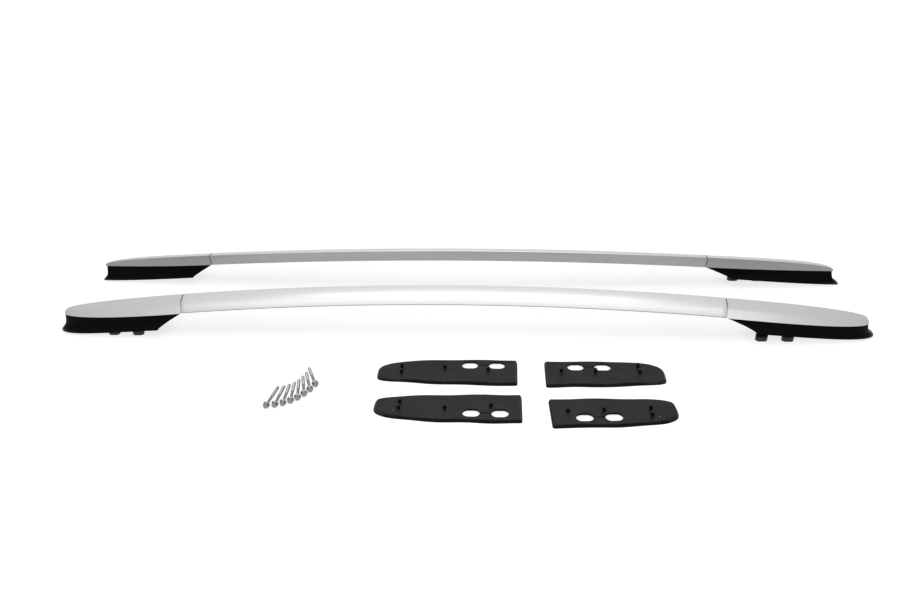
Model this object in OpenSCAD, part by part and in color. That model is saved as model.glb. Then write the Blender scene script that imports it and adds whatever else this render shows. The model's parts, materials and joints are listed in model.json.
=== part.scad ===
// Pair of arched roof side rails with their base gaskets and mounting bolts, laid out on a flat floor.
// X runs along the rails with the front at +X, Y runs from the right rail to the left one, Z is up.
// A rail is drawn in its own x, u, z space: u runs outwards from the flat inner face at the bar's ends.

/* [Rail] */
// Length of a rail, from the rear nose to the front nose
rail_len = 1750; // [1600:10:1900]
// Gap between the two flat inner faces, at the ends of the bars
rail_gap = 175; // [120:5:300]
// Height of the crest above the floor at the middle of the bar
crest_z = 100; // [96:1:110]
// Rise of the bar's arch from its ends to its middle
arch_rise = 20; // [14:1:26]
// Sideways bow of the bar's middle towards the other rail
arch_bow = 10; // [5:1:14]

/* [Bar section] */
// Width of the section at its lower edge
bar_w = 42; // [38:1:46]
// Height of the flat inner face
bar_h = 26; // [24:1:30]
// Wall of the extrusion
bar_wall = 2.4; // [1.8:0.2:3.2]
// Slope of the top facet below the horizontal
top_slope = 15; // [10:1:20]
// Slope of the outer facet below the horizontal
side_slope = 52; // [48:1:60]
// Radius between the top facet and the outer facet
shoulder_r = 24; // [14:1:28]
// Radius along the crest
crest_r = 1.6; // [0.8:0.2:2]
// Radius along the lower outer edge
edge_r = 1; // [0.6:0.2:1.4]

/* [End caps] */
// Length of the rear cap, from its seam to its tip
rear_cap_len = 269; // [240:1:300]
// Length of the front cap, from its seam to its tip
front_cap_len = 295; // [260:1:320]
// Drop of the cap's lower edge from the seam to the tip at the rear
rear_cap_drop = 12; // [10:1:16]
// Drop of the cap's lower edge from the seam to the tip at the front
front_cap_drop = 16; // [12:1:18]
// Distance that the tips stand outside the seam's inner face
tip_out = 14; // [10:1:18]
// Wall of the moulded caps
cap_wall = 2.4; // [1.8:0.2:3]
// Height of the blunt tip of a cap
tip_h = 3; // [2.4:0.2:4]
// Width of the blunt tip of a cap
tip_w = 5; // [4:0.5:8]
// Gap between the bar and a cap
seam_gap = 0.5; // [0.3:0.1:0.8]
// Gap between a cap and the foot under it
cap_seat_gap = 0.3; // [0.2:0.1:0.5]

/* [Feet] */
// Length of the rear foot at its base
rear_base_len = 230; // [215:1:240]
// Length of the front foot at its base
front_base_len = 251; // [242:1:262]
// Reach of the rear nose beyond the cap's tip
rear_nose_reach = 12; // [8:1:16]
// Reach of the front nose beyond the cap's tip
front_nose_reach = 17; // [12:1:20]
// Height of the rim's lower edge above the floor at the noses
rim_nose_z = 6; // [4:0.5:8]
// Height of the rim's lower edge above the floor at the rear foot's inner end
rear_rim_end_z = 21; // [17:1:23]
// Height of the rim's lower edge above the floor at the front foot's inner end
front_rim_end_z = 26; // [22:1:28]
// Distance that the base stands inside the inner face
base_in = 5; // [3:1:8]
// Distance from the inner face to the base's outer edge
base_out = 58; // [56:1:62]
// Distance from the inner face to the middle of the nose
nose_u = 17; // [14:1:20]
// Wall of the moulded feet
foot_wall = 3; // [2.4:0.2:3.6]
// Depth of the deck below the cap's lower edge
deck_drop = 15; // [13:1:17]

/* [Bolt bosses] */
// Distance between the two bolts of a foot
boss_pitch = 54; // [48:1:58]
// Distance from the inner face to the bolts
boss_u = 39; // [36:1:40]
// Distance from the nose to the nearer bolt at the rear
rear_boss_in = 122; // [118:1:126]
// Distance from the nose to the nearer bolt at the front
front_boss_in = 180; // [176:1:184]
// Width of a boss
boss_w = 15; // [14:0.5:16]
// Length of a boss
boss_len = 25; // [22:0.5:27]
// Height of the face under the bolt head, above the floor
boss_top = 33; // [31:1:34]
// Outer diameter of the steel sleeve in a boss
sleeve_d = 10.5; // [10:0.5:11]
// Bore of the sleeve
sleeve_bore_d = 6.8; // [6.6:0.1:7.2]

/* [Joint between bar and foot] */
// Length of the spigot inside the bar
spigot_in = 60; // [40:5:80]
// Length of the spigot over the foot
spigot_out = 46; // [40:1:50]
// Clearance between the spigot and the bar
spigot_fit = 0.5; // [0.4:0.1:0.7]
// Diameter of the joint screws
screw_d = 5; // [4:0.5:6]
// Length of a joint screw under its head
screw_len = 18; // [16:1:19]

/* [Gaskets] */
// Length of the rear gasket
rear_gasket_len = 230; // [220:1:240]
// Length of the front gasket
front_gasket_len = 274; // [260:1:285]
// Overlap of the gasket past the foot's base at its inner edge
gasket_over = 13; // [9:0.5:15]
// Height of the gasket's upper face above the lip's lower edge
gasket_h = 7; // [6:0.5:9]
// Thickness of the gasket's plate
gasket_t = 2.5; // [2:0.5:3.5]
// Outward flare of the gasket's lip
lip_flare = 3.5; // [2:0.5:5]
// Clearance round a boss in the gasket's holes
boss_fit = 4; // [3:0.5:5]
// Diameter of the locating pegs
peg_d = 5; // [4:0.5:6]
// Height of the locating pegs
peg_h = 4; // [3:0.5:6]

/* [Bolts] */
// Diameter of the bolt's thread
bolt_d = 6; // [5:0.5:6]
// Length of the bolt under its head
bolt_len = 60; // [50:1:70]
// Diameter of the flange under the bolt's head
flange_d = 13.4; // [12:0.2:14]
// Width across the flats of the bolt's head
head_af = 10; // [8:0.5:10]
// Height of the bolt's head with its flange
head_h = 7; // [6:0.5:8]

/* [Hidden] */
$fn = 48;
rear = 0;
front = 1;
along = [-1, 1];

// Ends of the rail, in pairs of rear and front
cap_len = [rear_cap_len, front_cap_len];
cap_drop = [rear_cap_drop, front_cap_drop];
cap_swell = [0.04, 0.1];
cap_round_w = [2.4, 3.2];
cap_round_h = [2.05, 2.15];
nose_reach = [rear_nose_reach, front_nose_reach];
base_len = [rear_base_len, front_base_len];
rim_end_z = [rear_rim_end_z, front_rim_end_z];
base_round = [3, 2.4];
boss_in = [rear_boss_in, front_boss_in];
gasket_len = [rear_gasket_len, front_gasket_len];
nose_x = [-rail_len / 2, rail_len / 2];
seam_x = [for (e = [rear, front]) nose_x[e] - along[e] * (nose_reach[e] + cap_len[e])];

// Arc of the bar: it lies in a plane that leans inwards, so that the bar rises and bows at once
mid_x = (seam_x[0] + seam_x[1]) / 2;
half_bar = (seam_x[1] - seam_x[0]) / 2;
sagitta = norm([arch_rise, arch_bow]);
arc_r = (half_bar * half_bar + sagitta * sagitta) / (2 * sagitta);
arc_half = asin(half_bar / arc_r);
arc_lean = atan2(arch_bow, arch_rise);
rise_dir = [0, -sin(arc_lean), cos(arc_lean)];
side_dir = [0, -cos(arc_lean), -sin(arc_lean)];
arc_centre = [mid_x, -arch_bow, crest_z - bar_h] - arc_r * rise_dir;
arc_fn = 720;

// Seating of the feet under the caps, and the form of their skirts
inner_side = 0;
outer_side = 1;
foot_inset = 1.2;
foot_start = 1;
foot_tip_in = 2.5;
foot_levels = [0, 0.2, 0.4, 0.56, 0.7, 0.82, 0.92, 1];
rim_t = 2;
nose_flat = 8;
nose_square = 6;
base_drift = 9;
skirt_even = 0.38;
skirt_curl = 5;
wall_foot_v = 0.85;
least_half_gap = 0.6;
sleeve_fit = 0.1;
cap_nose_share = 0.05;

// Joint pads in the feet, and the screws that come up through them, at shares of the spigot's outer length
pad_start = 5;
pad_over = 8;
pad_u = [6, 28];
screw_u = 17;
screw_shares = [0.5, 0.85];
screw_grip = 5;
screw_head_d = 9;
screw_head_h = 3.5;
socket_d = 4.5;
socket_depth = 2;
screw_fit = 0.4;
thread_fit = 0.2;

// Form of the gaskets, and where they lie: x and y of the nose and the turn, for the rear and the front one
nose_over = [-4, 2];
lip_ripple = 1;
ripple_turns = 1.5;
slit_w = 2;
collar_h = 4.5;
collar_t = 2;
pin_holes = [[35, 40], [35, 32]];
pin_hole_d = 4;
pegs = [[[48, 39], [47, 19], [134, 21], [201, 22]], [[45, 29], [46, 10], [132, 28], [219, 20]]];
peg_taper = 1;
left_gaskets = [[420.4, -347.5, 3.4], [-141, -350.5, 0.3]];
right_gaskets = [[417.2, -277.6, 0.6], [-148.5, -277.2, 0]];
function gasket_place(side, e) = side == "left" ? left_gaskets[e] : right_gaskets[e];

// Fan of the bolts: the heads run from the first to the last along a bulging line
bolt_count = 8;
flange_t = 1.6;
fan_first = [-349, -372];
fan_last = [-270, -304];
fan_bulge = [9, -14];
fan_turns = [-97, -66];

function unit(v) = v / norm(v);
function mix(a, b, t) = a + (b - a) * t;

// Points of a round corner of radius r at v, between the neighbours a and b
function corner(a, v, b, r, n) =
    let (d1 = unit(a - v), d2 = unit(b - v), half = acos(d1 * d2) / 2)
    let (centre = v + unit(d1 + d2) * r / sin(half), turn = 180 - 2 * half)
    let (from = v + d1 * r / tan(half) - centre, to = v + d2 * r / tan(half) - centre)
    [for (i = [0 : n]) centre + (sin(turn * (1 - i / n)) * from + sin(turn * i / n) * to) / sin(turn)];

// Corners of the section at a depth t below its skin, and at a depth floor_t above its lower face
top_dir = [cos(top_slope), -sin(top_slope)];
side_down = [cos(side_slope), -sin(side_slope)];
function meet(p, d, q, e) = p + d * ((q.x - p.x) * e.y - (q.y - p.y) * e.x) / (d.x * e.y - d.y * e.x);
function top_line(t) = [0, bar_h] + t * [-sin(top_slope), -cos(top_slope)];
function side_line(t) = [bar_w, 0] + t * [-sin(side_slope), -cos(side_slope)];
function crest_at(t) = meet(top_line(t), top_dir, [t, 0], [0, 1]);
function shoulder_at(t) = meet(top_line(t), top_dir, side_line(t), side_down);
function edge_at(t, floor_t) = meet(side_line(t), side_down, [0, floor_t], [1, 0]);

// Skin of the section from the foot of the inner face over the crest to the lower outer edge
function skin_path(t, floor_t, edge) =
    let (low = [t, floor_t], crest = crest_at(t), shoulder = shoulder_at(t), out = edge_at(t, floor_t))
    concat(
        [low],
        corner(low, crest, shoulder, max(crest_r - t, 0.5), 3),
        corner(crest, shoulder, out, shoulder_r - t, 9),
        edge > 0 ? corner(shoulder, out, low, edge, 3) : [out]
    );

// A point of the bar, at an angle along its arc and a place q = [u, z] in its section
function arc_point(angle, q) =
    let (rise = arc_r - q.x * sin(arc_lean) + q.y * cos(arc_lean))
    let (side = -q.x * cos(arc_lean) - q.y * sin(arc_lean))
    arc_centre + [rise * sin(angle), 0, 0] + rise * cos(angle) * rise_dir + side * side_dir;

// The line of the caps' inner lower edge carries on from the bar's, and flattens out towards the tip
out_slope = tan(arc_half) * sin(arc_lean);
down_slope = tan(arc_half) * cos(arc_lean);
function seam_point(e, q) = arc_point(along[e] * arc_half, q);
function cap_line(e, s) =
    let (f = s / cap_len[e])
    seam_point(e, [0, 0]) + [
        along[e] * s,
        out_slope * s + (tip_out - out_slope * cap_len[e]) * f * f,
        -down_slope * s - (cap_drop[e] - down_slope * cap_len[e]) * f * f
    ];
function taper(f, n) = pow(1 - pow(min(f, 1), n), 1 / n);
function cap_w_at(e, s) =
    let (f = s / cap_len[e])
    mix(tip_w, bar_w * (1 + cap_swell[e] * f), taper(f, cap_round_w[e]));
function cap_h_at(e, s) = mix(tip_h, bar_h, taper(s / cap_len[e], cap_round_h[e]));
function cap_u_dir(e, s) = mix(seam_point(e, [1, 0]) - seam_point(e, [0, 0]), [0, 1, 0], s / cap_len[e]);
function cap_z_dir(e, s) = mix(seam_point(e, [0, 1]) - seam_point(e, [0, 0]), [0, 0, 1], s / cap_len[e]);
function cap_point(e, s, q) = cap_line(e, s) + q.x * cap_u_dir(e, s) + q.y * cap_z_dir(e, s);

// Stations from the seam to the tip, closer together where the outline turns
stations = 18;
function station(i) = sin(90 * i / stations);

// Closed skin over a list of rings that all have the same number of points, with both ends closed by rungs
function ring_faces(rings, count) = [
    for (r = [0 : rings - 2], i = [0 : count - 1])
        let (a = r * count + i, b = r * count + (i + 1) % count)
        each [[a, b, a + count], [b, b + count, a + count]]
];
function rung_faces(first, count, flip) = [
    for (i = [0 : count / 2 - 2])
        let (a = first + i, b = first + i + 1, c = first + count - 2 - i, d = first + count - 1 - i)
        each flip ? [[a, c, b], [a, d, c]] : [[a, b, c], [a, c, d]]
];
module skin(rings) {
    count = len(rings[0]);
    polyhedron(
        points = [for (r = rings) each r],
        faces = concat(
            rung_faces(0, count, true),
            ring_faces(len(rings), count),
            rung_faces((len(rings) - 1) * count, count, false)
        ),
        convexity = 8
    );
}

// Stage of one rail: its own space is moved out from the middle, and mirrored for the right side
module on_side(side) {
    translate([0, -set_mid_y, 0]) mirror([0, side == "right" ? 1 : 0, 0])
        translate([0, rail_gap / 2, 0]) children();
}

// Frame of a joint: x runs out of the bar along its tangent at the middle of the inserted stretch
module at_joint(e) {
    angle = along[e] * (arc_half - asin(spigot_in / 2 / arc_r));
    translate(arc_centre) rotate([arc_lean, 0, 0]) rotate([0, angle, 0])
        translate([0, 0, arc_r]) mirror([e == rear ? 1 : 0, 0, 0]) rotate([-arc_lean, 0, 0]) children();
}

// Extrusion of the bar, with a hollow core
module bar_body() {
    outer = skin_path(0, 0, edge_r);
    inner = skin_path(bar_wall, bar_wall, 0);
    turn = [for (q = outer) [arc_r - q.x * sin(arc_lean) + q.y * cos(arc_lean),
                             -q.x * cos(arc_lean) - q.y * sin(arc_lean)]];
    hollow = [for (q = inner) [arc_r - q.x * sin(arc_lean) + q.y * cos(arc_lean),
                               -q.x * cos(arc_lean) - q.y * sin(arc_lean)]];
    translate(arc_centre) rotate([90 + arc_lean, 0, 0]) rotate([0, 0, 90 - arc_half])
        rotate_extrude(angle = 2 * arc_half, $fn = arc_fn) difference() {
            polygon(turn);
            polygon(hollow);
        }
}

// Moulded end cap: a shell that is open below and at the seam, and closes at the tip
function cap_ring(e, s) =
    let (w = cap_w_at(e, s) / bar_w, h = cap_h_at(e, s) / bar_h)
    let (outer = skin_path(0, 0, 0), depth = min(cap_wall / h, 6))
    let (inner = skin_path(depth, 0, 0), close = min(1, (1 - s / cap_len[e]) / cap_nose_share))
    concat(
        [for (q = outer) cap_point(e, s, [q.x * w, q.y * h])],
        [for (i = [len(inner) - 1 : -1 : 0]) cap_point(e, s, [inner[i].x * w, inner[i].y * h * close])]
    );
module cap_body(e) {
    order = e == front ? [0 : stations] : [stations : -1 : 0];
    skin([for (i = order) cap_ring(e, mix(seam_gap, cap_len[e], station(i)))]);
}

// Places on the foot's skin: v runs from 0 under the cap to 1 at the rim, t is the depth below the skin
function spread(v) = mix(pow(v, skirt_curl), v, skirt_even);
function foot_top(e, side, i) =
    let (s = mix(foot_start, cap_len[e] - foot_tip_in, station(i)))
    let (u = side == inner_side ? foot_inset : cap_w_at(e, s) - foot_inset)
    cap_point(e, s, [u, 0]) - [0, 0, cap_seat_gap];
function drift(e, f) = base_drift * f * f;
function base_u(e, side, f, over) =
    side == inner_side
        ? mix(drift(e, f) - base_in - over, nose_u - nose_flat / 2, 1 - taper(f, nose_square))
        : mix(nose_u + nose_flat / 2, drift(e, f) + base_out, taper(f, base_round[e]));
function foot_base(e, side, i) =
    let (f = station(i))
    [
        nose_x[e] - along[e] * base_len[e] * (1 - f),
        base_u(e, side, f, 0),
        mix(rim_end_z[e], rim_nose_z, f) + rim_t
    ];
function foot_skin(e, side, i, v) =
    let (top = foot_top(e, side, i), base = foot_base(e, side, i), wide = spread(v))
    [mix(top.x, base.x, mix(v, wide, station(i))), mix(top.y, base.y, wide), mix(top.z, base.z, v)];
function foot_point(e, side, i, v, t) =
    let (p = foot_skin(e, side, i, v), q = foot_skin(e, 1 - side, i, v))
    let (from = foot_skin(e, side, 0, v).x, to = foot_skin(e, side, stations, v).x)
    let (reach = max(abs(q.y - p.y) / 2 - least_half_gap, 0), inwards = side == inner_side ? 1 : -1)
    [p.x + ((from + to) / 2 - p.x) * 2 * t / abs(to - from), p.y + inwards * min(t, reach), p.z];
function deck_v(e, side, i, depth) =
    depth / (foot_top(e, side, i).z - foot_base(e, side, i).z);
function foot_ring(e, v, t, depth = 0, lower = 0) = concat(
    [for (i = [0 : stations]) foot_point(e, inner_side, i,
        depth > 0 ? deck_v(e, inner_side, i, depth) : v, t) - [0, 0, lower]],
    [for (i = [stations : -1 : 0]) foot_point(e, outer_side, i,
        depth > 0 ? deck_v(e, outer_side, i, depth) : v, t) - [0, 0, lower]]
);

// Moulded foot: a hollow skirt with a deck, open below, and a tray above the deck that the cap closes
module foot_shell(e) {
    rings = concat(
        [foot_ring(e, 0, foot_wall, depth = deck_drop), foot_ring(e, 0, foot_wall)],
        [for (v = foot_levels) foot_ring(e, v, 0)],
        [foot_ring(e, 1, 0, lower = rim_t), foot_ring(e, 1, foot_wall, lower = rim_t)],
        [foot_ring(e, wall_foot_v, foot_wall), foot_ring(e, 0, foot_wall, depth = deck_drop + foot_wall)]
    );
    order = e == front ? [0 : len(rings) - 1] : [len(rings) - 1 : -1 : 0];
    skin([for (k = order) rings[k]]);
}
function bolt_x(e, k) = nose_x[e] - along[e] * (boss_in[e] + k * boss_pitch);
module at_bolts(e) {
    for (k = [0, 1]) translate([bolt_x(e, k), boss_u, 0]) children();
}
module long_round(length, width, height) {
    for (side = [-1, 1]) translate([side * (length - width) / 2, 0, 0]) cylinder(h = height, d = width);
    translate([(width - length) / 2, -width / 2, 0]) cube([length - width, width, height]);
}

// Side of a joint pad, seen along y from the seam: its lower face stays inside the slanted end of the skirt
function end_slope(e) =
    let (top = foot_top(e, inner_side, 0), base = foot_base(e, inner_side, 0))
    (top.z - base.z) / abs(base.x - top.x) - down_slope;
function pad_side(e, seat_z) =
    let (low = -deck_drop - foot_wall / 2, inset = foot_start + foot_wall * 2 / 3)
    [
        [pad_start, seat_z], [spigot_out + pad_over, seat_z], [spigot_out + pad_over, low],
        [inset - low / end_slope(e), low], [pad_start, (inset - pad_start) * end_slope(e)]
    ];
module foot_body(e) {
    seat_z = bar_wall + spigot_fit;
    difference() {
        union() {
            foot_shell(e);
            at_bolts(e) long_round(boss_len, boss_w, boss_top);
            at_joint(e) translate([spigot_in / 2, pad_u[1], 0])
                rotate([90, 0, 0]) linear_extrude(pad_u[1] - pad_u[0]) polygon(pad_side(e, seat_z));
        }
        at_bolts(e) translate([0, 0, -1]) cylinder(h = boss_top + 2, d = sleeve_d + 2 * sleeve_fit);
        at_joint(e) at_screws() {
            translate([0, 0, seat_z - 2 * screw_grip])
                cylinder(h = 2 * screw_grip + 1, d = screw_d + screw_fit);
            translate([0, 0, -deck_drop - 3 * foot_wall])
                cylinder(h = deck_drop + 3 * foot_wall + seat_z - screw_grip, d = screw_head_d + 2);
        }
    }
}

// Spigot: a die-cast tongue that is pushed into the bar and screwed down to the foot
module at_screws() {
    for (share = screw_shares) translate([spigot_in / 2 + spigot_out * share, screw_u, 0]) children();
}
module spigot_body(e) {
    inset = bar_wall + spigot_fit;
    at_joint(e) difference() {
        translate([-spigot_in / 2, 0, 0]) rotate([90, 0, 90]) linear_extrude(spigot_in + spigot_out)
            polygon(skin_path(inset, inset, 0));
        at_screws() translate([0, 0, inset - 1])
            cylinder(h = screw_len - screw_grip + 2, d = screw_d + thread_fit);
    }
}
module screw_bodies(e) {
    seat_z = bar_wall + spigot_fit - screw_grip;
    at_joint(e) at_screws() translate([0, 0, seat_z]) {
        cylinder(h = screw_len, d = screw_d);
        difference() {
            translate([0, 0, -screw_head_h]) cylinder(h = screw_head_h, d = screw_head_d);
            translate([0, 0, -screw_head_h - 1]) cylinder(h = socket_depth + 1, d = socket_d, $fn = 6);
        }
    }
}
module sleeve_bodies(e) {
    at_bolts(e) difference() {
        cylinder(h = boss_top, d = sleeve_d);
        translate([0, 0, -1]) cylinder(h = boss_top + 2, d = sleeve_bore_d);
    }
}

// Gasket: drawn with its nose at x = 0 and its inner edge towards -y, standing on the edge of its lip
function gasket_ring(e, z, off, ripple = 0) = concat(
    [for (i = [0 : stations]) gasket_point(e, inner_side, i, z, off, ripple)],
    [for (i = [stations : -1 : 0]) gasket_point(e, outer_side, i, z, off, ripple)]
);
function gasket_point(e, side, i, z, off, ripple) =
    let (f = station(i), inwards = side == inner_side ? 1 : -1)
    let (u = base_u(e, side, f, gasket_over), x = gasket_len[e] * (1 - f) - off + 2 * off * (1 - f))
    [x, u - inwards * off, z + ripple * pow(sin(ripple_turns * 360 * f + 60 * side), 2)];
module gasket_plate(e) {
    skin([
        gasket_ring(e, gasket_h - gasket_t, -gasket_t),
        gasket_ring(e, 0, lip_flare - gasket_t / 2, lip_ripple),
        gasket_ring(e, 0, lip_flare, lip_ripple),
        gasket_ring(e, gasket_h - edge_r, 0),
        gasket_ring(e, gasket_h, -edge_r)
    ]);
}
module gasket_body(e) {
    hole_x = [for (k = [0, 1]) boss_in[e] + nose_over[e] + k * boss_pitch];
    hole = [boss_len, boss_w] + [2, 2] * boss_fit;
    collar = hole + [2, 2] * collar_t;
    difference() {
        union() {
            gasket_plate(e);
            for (x = hole_x) translate([x, boss_u, gasket_h - collar_h])
                long_round(collar.x, collar.y, collar_h - gasket_t / 2);
        }
        for (x = hole_x) translate([x, boss_u, -1]) long_round(hole.x, hole.y, gasket_h + 2);
        translate([hole_x[0], boss_u - slit_w / 2, -1]) cube([boss_pitch, slit_w, gasket_h + 2]);
        translate([pin_holes[e].x, pin_holes[e].y, -1]) cylinder(h = gasket_h + 2, d = pin_hole_d);
    }
    for (q = pegs[e]) translate([q.x, q.y, gasket_h - 1])
        cylinder(h = peg_h + 1, d1 = peg_d, d2 = peg_d - peg_taper);
}
module laid_gasket(side, e) {
    place = gasket_place(side, e);
    translate([place.x, place.y - set_mid_y, 0]) rotate([0, 0, place.z])
        mirror([e == rear ? 1 : 0, 0, 0]) mirror([0, side == "left" ? 1 : 0, 0]) gasket_body(e);
}

// Flange bolt, drawn with its axis along x from the tip to the head
module bolt_body() {
    rotate([0, 90, 0]) {
        translate([0, 0, bolt_d / 2]) cylinder(h = bolt_len - bolt_d / 2 + 1, d = bolt_d);
        cylinder(h = bolt_d / 2, d1 = bolt_d * 0.6, d2 = bolt_d);
        translate([0, 0, bolt_len]) cylinder(h = flange_t, d = flange_d);
        translate([0, 0, bolt_len + flange_t]) cylinder(h = 1, d1 = flange_d, d2 = head_af);
        translate([0, 0, bolt_len]) cylinder(h = head_h, d = head_af / cos(30), $fn = 6);
    }
}

// The bolts lie in a fan: each rests on the edge of its flange and on its tip
bolt_tilt = asin((flange_d - bolt_d) / 2 / (bolt_len - bolt_d / 2));
function bolt_head(k) =
    let (f = k / (bolt_count - 1))
    mix(fan_first, fan_last, f) + 4 * f * (1 - f) * fan_bulge;
module mounting_bolts() color("gainsboro") {
    for (k = [0 : bolt_count - 1]) {
        head = bolt_head(k);
        turn = mix(fan_turns[0], fan_turns[1], k / (bolt_count - 1));
        translate([head.x, head.y - set_mid_y, flange_d / 2 * cos(bolt_tilt)])
            rotate([0, 0, turn]) rotate([0, -bolt_tilt, 0]) translate([-bolt_len, 0, 0]) bolt_body();
    }
}

// Middle of the whole set in y, from the left rail's rim to the lips of the nearer gaskets
function turned_y(place, q, flip) = place.y + q.x * flip * sin(place.z) - q.y * cos(place.z);
far_y = rail_gap / 2 + max([for (e = [rear, front], i = [0 : stations]) foot_base(e, outer_side, i).y]);
near_y = min([
    for (e = [rear, front], i = [0 : stations])
        turned_y(left_gaskets[e], gasket_point(e, outer_side, i, 0, lip_flare, 0), e == rear ? -1 : 1)
]);
set_mid_y = (far_y + near_y) / 2;

module left_bar() color("silver") on_side("left") bar_body();
module left_rear_cap() color("silver") on_side("left") cap_body(rear);
module left_front_cap() color("silver") on_side("left") cap_body(front);
module left_rear_foot() color("dimgray") on_side("left") foot_body(rear);
module left_front_foot() color("dimgray") on_side("left") foot_body(front);
module left_rear_spigot() color("lightslategray") on_side("left") spigot_body(rear);
module left_front_spigot() color("lightslategray") on_side("left") spigot_body(front);
module left_rear_sleeves() color("gainsboro") on_side("left") sleeve_bodies(rear);
module left_front_sleeves() color("gainsboro") on_side("left") sleeve_bodies(front);
module left_rear_screws() color("gainsboro") on_side("left") screw_bodies(rear);
module left_front_screws() color("gainsboro") on_side("left") screw_bodies(front);
module left_rear_gasket() color("darkslategray") laid_gasket("left", rear);
module left_front_gasket() color("darkslategray") laid_gasket("left", front);
module right_bar() color("silver") on_side("right") bar_body();
module right_rear_cap() color("silver") on_side("right") cap_body(rear);
module right_front_cap() color("silver") on_side("right") cap_body(front);
module right_rear_foot() color("dimgray") on_side("right") foot_body(rear);
module right_front_foot() color("dimgray") on_side("right") foot_body(front);
module right_rear_spigot() color("lightslategray") on_side("right") spigot_body(rear);
module right_front_spigot() color("lightslategray") on_side("right") spigot_body(front);
module right_rear_sleeves() color("gainsboro") on_side("right") sleeve_bodies(rear);
module right_front_sleeves() color("gainsboro") on_side("right") sleeve_bodies(front);
module right_rear_screws() color("gainsboro") on_side("right") screw_bodies(rear);
module right_front_screws() color("gainsboro") on_side("right") screw_bodies(front);
module right_rear_gasket() color("darkslategray") laid_gasket("right", rear);
module right_front_gasket() color("darkslategray") laid_gasket("right", front);

left_bar();
left_rear_cap();
left_front_cap();
left_rear_foot();
left_front_foot();
left_rear_spigot();
left_front_spigot();
left_rear_sleeves();
left_front_sleeves();
left_rear_screws();
left_front_screws();
left_rear_gasket();
left_front_gasket();
right_bar();
right_rear_cap();
right_front_cap();
right_rear_foot();
right_front_foot();
right_rear_spigot();
right_front_spigot();
right_rear_sleeves();
right_front_sleeves();
right_rear_screws();
right_front_screws();
right_rear_gasket();
right_front_gasket();
mounting_bolts();
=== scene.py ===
"""Looks of a pair of arched roof side rails with their base gaskets and bolts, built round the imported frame."""

import json
import math

import bmesh
import bpy
from bpy.props import FloatProperty, FloatVectorProperty, IntProperty, PointerProperty
from mathutils import Matrix, Vector


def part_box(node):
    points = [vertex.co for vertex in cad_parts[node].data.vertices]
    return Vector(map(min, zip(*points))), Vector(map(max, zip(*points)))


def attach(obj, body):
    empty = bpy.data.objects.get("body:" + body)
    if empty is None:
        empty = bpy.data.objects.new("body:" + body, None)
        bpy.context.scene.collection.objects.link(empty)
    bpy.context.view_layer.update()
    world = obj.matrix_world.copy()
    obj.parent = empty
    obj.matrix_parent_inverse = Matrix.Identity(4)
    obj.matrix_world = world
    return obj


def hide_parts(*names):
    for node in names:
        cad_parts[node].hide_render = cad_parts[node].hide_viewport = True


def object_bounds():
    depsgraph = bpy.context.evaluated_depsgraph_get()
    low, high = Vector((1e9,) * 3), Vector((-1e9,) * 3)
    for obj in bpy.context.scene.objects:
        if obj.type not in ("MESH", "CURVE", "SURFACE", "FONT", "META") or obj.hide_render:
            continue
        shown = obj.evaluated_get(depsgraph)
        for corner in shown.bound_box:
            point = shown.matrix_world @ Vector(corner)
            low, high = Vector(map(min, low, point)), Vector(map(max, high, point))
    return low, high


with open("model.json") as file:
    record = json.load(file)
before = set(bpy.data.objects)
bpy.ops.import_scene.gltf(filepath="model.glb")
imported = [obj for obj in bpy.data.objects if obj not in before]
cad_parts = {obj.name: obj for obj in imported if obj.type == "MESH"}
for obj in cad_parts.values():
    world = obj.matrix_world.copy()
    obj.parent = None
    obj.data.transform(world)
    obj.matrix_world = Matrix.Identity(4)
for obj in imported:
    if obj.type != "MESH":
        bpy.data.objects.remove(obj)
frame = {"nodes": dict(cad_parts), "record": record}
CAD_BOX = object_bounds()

bl_info = {
    "name": "Roof side rail pair",
    "version": (1, 0, 0),
    "blender": (4, 5, 0),
    "location": "View3D > Sidebar > Side Rails",
    "description": "Builds two roof side rails, their gaskets and their bolts round the packed frame",
    "category": "Object",
}

SIDES = ("left", "right")
ENDS = ("rear", "front")
CORNERS = tuple((side, end) for side in SIDES for end in ENDS)
# The way along Y from each rail to the other one.
INWARDS = {"left": -1, "right": 1}
X_AXIS = Vector((1, 0, 0))

MM = 0.001
# Vertices nearer to each other than this are one.
MERGE = 2e-6
# The stretch at each end of a bar in which only its sawn outline has vertices.
SAWN_END = 4 * MM
# Edges sharper than this are broken.
BROKEN_EDGE = math.radians(40)
# How far two triangles may bend and skew and still be joined to one four-sided face.
PAIR_BEND, PAIR_SKEW = math.radians(30), math.radians(60)

# Limits for a face's normal. A bar's underside points down, and on its outer side its lower edge is counted too;
# both get a near-black colour as painted shade, in place of the shade and the dark floor that they would show.
UNDERSIDE = -0.2
OUTER_SIDE = -0.2
LOWER_EDGE = 0.35
# A flat inner face points to the other rail, an end at a seam along X, and a gasket's edge sideways. Faces past
# these limits get painted shade: darker copies of their finish, or black at a seam.
INNER_FACE = 0.7
SEAM_END = 0.9
GASKET_EDGE = 0.6

WHITE = (1, 1, 1, 1)
# The range in which nearly all of a noise texture's values lie.
NOISE_LOW, NOISE_HIGH = 0.3, 0.7
# Surfaces that more than one finish has: the drawn lines of an extrusion, and cured rubber.
DRAWN = {
    "grain": 1500.0, "stretch": (0.012, 1, 1), "bump": 0.12, "depth": 0.00004, "mottle": 5.0, "rough_spread": 0.05,
}
CURED = {"grain": 420.0, "bump": 0.25, "depth": 0.0002, "mottle": 22.0, "rough_spread": 0.07}


def length(name, description, default, **more):
    """A size in metres."""
    return FloatProperty(name=name, description=description, default=default, unit="LENGTH", precision=5, **more)


def angle(name, description, degrees, **more):
    """An angle, given in degrees."""
    return FloatProperty(name=name, description=description, default=math.radians(degrees), unit="ROTATION", **more)


def tone(name, description, default):
    """A colour in linear values."""
    return FloatVectorProperty(
        name=name, description=description, default=default, subtype="COLOR", size=3, min=0, max=1
    )


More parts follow.
